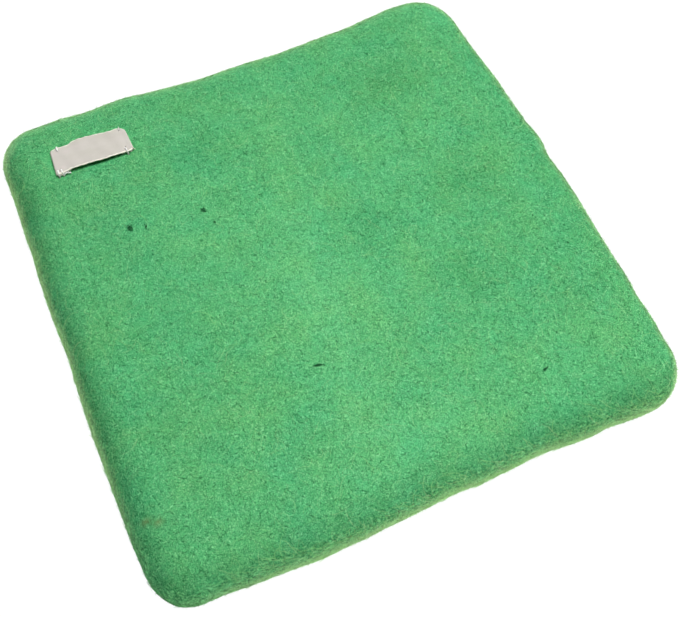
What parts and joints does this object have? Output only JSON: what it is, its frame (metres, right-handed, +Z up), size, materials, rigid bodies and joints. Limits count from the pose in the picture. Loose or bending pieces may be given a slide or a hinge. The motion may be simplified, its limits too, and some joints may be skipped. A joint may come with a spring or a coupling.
{
  "type": "needle felting mat",
  "caption": "Thick square pad of green felted wool with soft rolled edges and a bare fabric label tacked on near one corner, used as the surface under needle felting work.",
  "frame": {"origin": "middle of the mat's footprint, on the surface it lies on", "axes": "+Z up through the mat's thickness, +X along the label from left to right, +Y towards the back edge, which the label lies near"},
  "size_m": [0.207, 0.2098, 0.0259],
  "materials": {
    "green_felt": "matted wool felt, mottled green with fine curly fibres, fully matte",
    "raw_wool": "undyed carded wool, loose and fully matte",
    "label_ribbon": "pale warm grey plain-woven ribbon, bare",
    "sewing_thread": "white twisted cotton thread"
  },
  "bodies": {
    "root": {"upper_felt_skin": "green_felt", "lower_felt_skin": "green_felt", "core_batt_1": "raw_wool", "core_batt_2": "raw_wool", "core_batt_3": "raw_wool", "core_batt_4": "raw_wool", "core_batt_5": "raw_wool", "label_ribbon": "label_ribbon", "label_stitch_back_left": "sewing_thread", "label_stitch_front_left_outer": "sewing_thread", "label_stitch_front_left_inner": "sewing_thread", "label_stitch_front_right": "sewing_thread", "label_stitch_back_right": "sewing_thread"}
  },
  "joints": []
}
